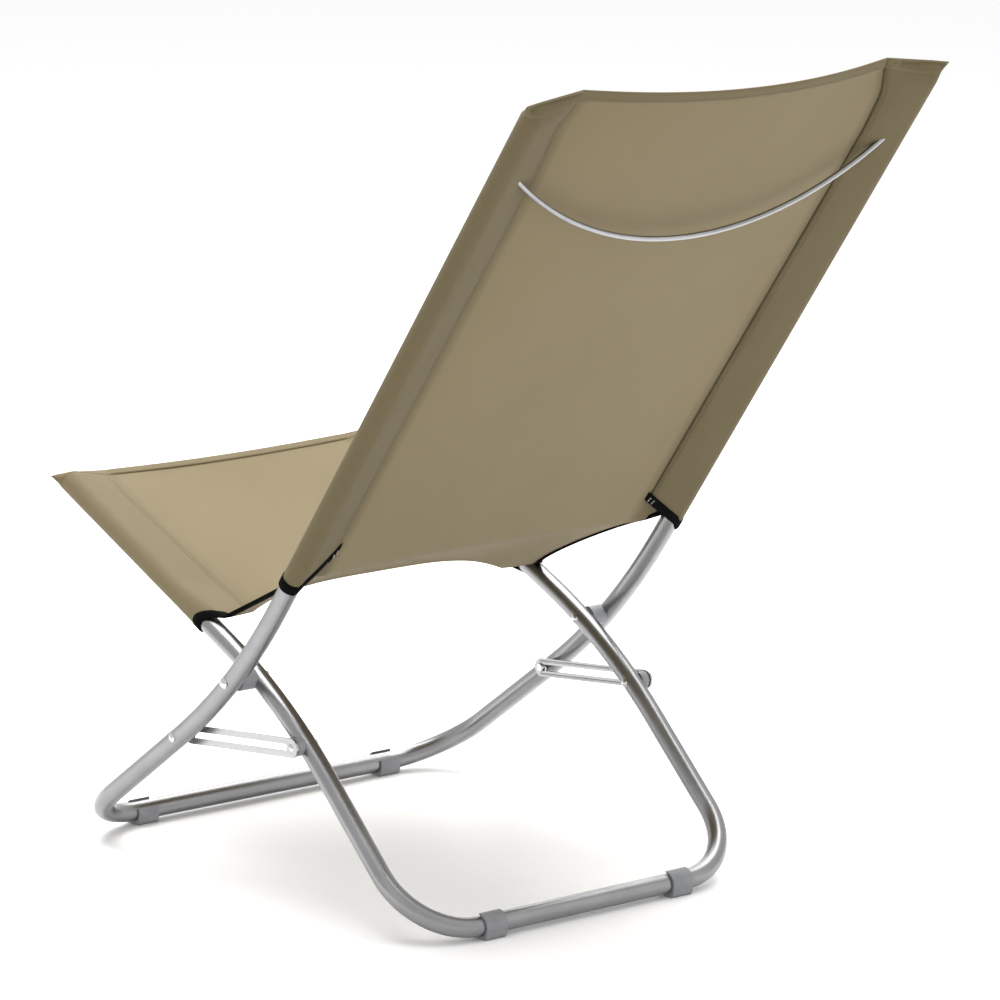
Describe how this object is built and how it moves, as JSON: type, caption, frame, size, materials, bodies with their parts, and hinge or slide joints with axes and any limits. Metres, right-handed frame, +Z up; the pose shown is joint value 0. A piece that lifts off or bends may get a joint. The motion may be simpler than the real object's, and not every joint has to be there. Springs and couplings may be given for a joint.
{
  "type": "folding camp chair",
  "caption": "Low folding camp chair: two crossed bent-tube frames, a fabric sling seat and back, slotted side links and clip-on feet.",
  "frame": {"origin": "on the floor, at the middle of the chair's box in X and Y", "axes": "+Z up; the sitter faces -Y and the backrest leans to +Y; +X is the sitter's left, and the chair is mirrored about X = 0"},
  "size_m": [0.4784, 0.8007, 0.8122],
  "materials": {
    "tube": "satin silver finish on steel tube",
    "rod": "bright plated wire",
    "rivet": "plated, slightly worn",
    "link": "plated strip with soft edges",
    "grey_plastic": "moulded mid grey",
    "sling": "tan brown plain-weave polyester",
    "sleeve": "same fabric, doubled over the tubes",
    "binding": "black woven tape"
  },
  "bodies": {
    "back_frame": {"back_tube": "tube", "back_tube_caps": "grey_plastic", "back_panel": "sling", "back_sleeve_left": "sleeve", "back_sleeve_right": "sleeve", "back_bindings": "binding", "back_spreader": "rod", "front_foot_left": "grey_plastic", "front_foot_right": "grey_plastic", "pivot_rivet_left": "rivet", "pivot_rivet_right": "rivet", "back_saddle_left": "grey_plastic", "back_saddle_right": "grey_plastic", "slot_rivet_left": "rivet", "slot_rivet_right": "rivet", "sling_bend": "sling"},
    "seat_frame": {"seat_tube": "tube", "seat_tube_caps": "grey_plastic", "seat_panel": "sling", "seat_sleeve_left": "sleeve", "seat_sleeve_right": "sleeve", "seat_bindings": "binding", "seat_spreader": "rod", "rear_foot_left": "grey_plastic", "rear_foot_right": "grey_plastic", "seat_saddle_left": "grey_plastic", "seat_saddle_right": "grey_plastic", "link_rivet_left": "rivet", "link_rivet_right": "rivet", "link_spacer_left": "grey_plastic", "link_spacer_right": "grey_plastic"},
    "link_left": {"link_left": "link"},
    "link_right": {"link_right": "link"},
    "slider_left": {"slot_button_left": "rivet"},
    "slider_right": {"slot_button_right": "rivet"}
  },
  "joints": [
    {"name": "fold", "type": "hinge", "parent": "back_frame", "child": "seat_frame", "pos_m": [0, -0.06376, 0.20944], "axis": [-1, 0, 0], "range_deg": [0, 100], "deforming": ["sling_bend"]},
    {"name": "link_turn_left", "type": "hinge", "parent": "seat_frame", "child": "link_left", "pos_m": [0.212, 0.01376, 0.15989], "axis": [-1, 0, 0], "range_deg": [-100.3, 0]},
    {"name": "slot_run_left", "type": "slide", "parent": "link_left", "child": "slider_left", "axis": [0, -0.9916, -0.1294], "range_m": [-0.14195, 0]},
    {"name": "link_turn_right", "type": "hinge", "parent": "seat_frame", "child": "link_right", "pos_m": [-0.212, 0.01376, 0.15989], "axis": [-1, 0, 0], "range_deg": [-100.3, 0]},
    {"name": "slot_run_right", "type": "slide", "parent": "link_right", "child": "slider_right", "axis": [0, -0.9916, -0.1294], "range_m": [-0.14195, 0]}
  ],
  "couplings": [
    {"joint": "link_turn_left", "follows": "fold", "ratio": -1.0012},
    {"joint": "slot_run_left", "follows": "fold", "m_per_rad": -0.08076},
    {"joint": "link_turn_right", "follows": "fold", "ratio": -1.0012},
    {"joint": "slot_run_right", "follows": "fold", "m_per_rad": -0.08076}
  ]
}
